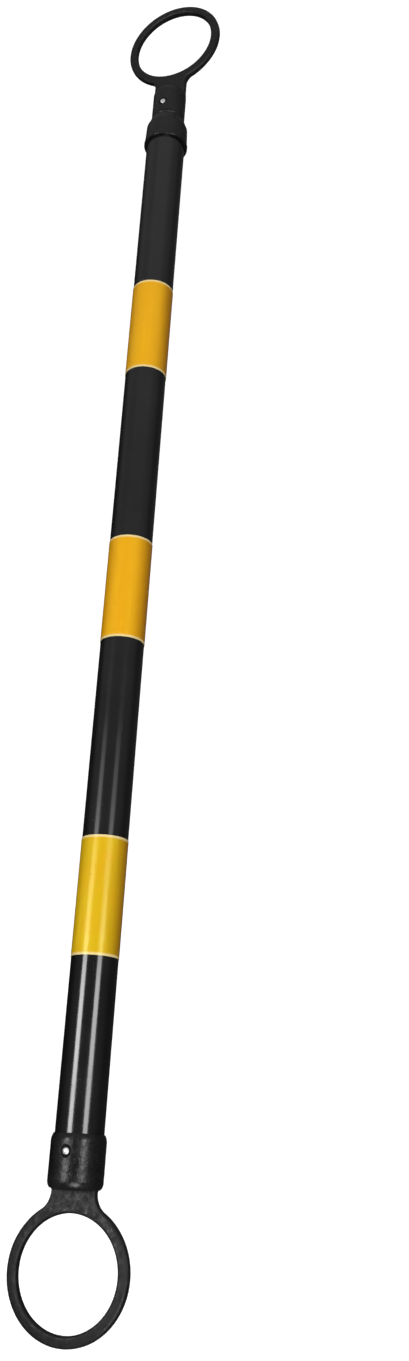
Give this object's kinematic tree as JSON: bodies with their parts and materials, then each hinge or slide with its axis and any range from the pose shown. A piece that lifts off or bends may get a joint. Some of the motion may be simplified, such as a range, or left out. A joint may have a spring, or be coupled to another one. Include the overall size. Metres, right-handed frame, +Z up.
{
  "type": "retractable cone bar",
  "caption": "Telescopic barrier bar with a moulded ring at each end that drops over a traffic cone, reflective bands, and an inner tube that slides out and swivels.",
  "frame": {"origin": "middle of the fixed ring's bore, on the tubes' axis", "axes": "+X along the tubes from the fixed ring to the sliding ring, +Z up along the ring bores as the bar hangs between two cones, on the side of the rivets"},
  "size_m": [1.2073, 0.0948, 0.0412],
  "materials": {
    "black_tube": "smooth extruded black plastic, semi-gloss",
    "black_moulding": "moulded black plastic, fine satin texture",
    "yellow_tape": "glossy yellow reflective tape",
    "rivet_aluminium": "bright domed blind rivet",
    "zinc_steel": "zinc plated",
    "white_acetal": "natural acetal, turned or moulded",
    "black_rubber": "nitrile rubber"
  },
  "bodies": {
    "outer": {"outer_tube": "black_tube", "fixed_ring": "black_moulding", "fixed_ring_rivet": "rivet_aluminium", "fixed_ring_rivet_mandrel": "zinc_steel", "mouth_collar": "black_moulding", "mouth_bush": "white_acetal", "ring_side_band": "yellow_tape", "middle_band": "yellow_tape", "mouth_side_band": "yellow_tape"},
    "slider": {"tail_bush": "white_acetal", "friction_rings": "black_rubber"},
    "inner": {"inner_tube": "black_tube", "sliding_ring": "black_moulding", "sliding_ring_rivet": "rivet_aluminium", "sliding_ring_rivet_mandrel": "zinc_steel", "inner_tail_band": "yellow_tape", "inner_middle_band": "yellow_tape", "inner_ring_side_band": "yellow_tape", "tail_spigot": "white_acetal", "tail_washer": "zinc_steel", "tail_screw": "zinc_steel"}
  },
  "joints": [
    {"name": "extend", "type": "slide", "parent": "outer", "child": "slider", "axis": [1, 0, 0], "range_m": [0, 0.8]},
    {"name": "swivel", "type": "hinge", "parent": "slider", "child": "inner", "pos_m": [0.13, 0, 0], "axis": [1, 0, 0], "continuous": true}
  ]
}
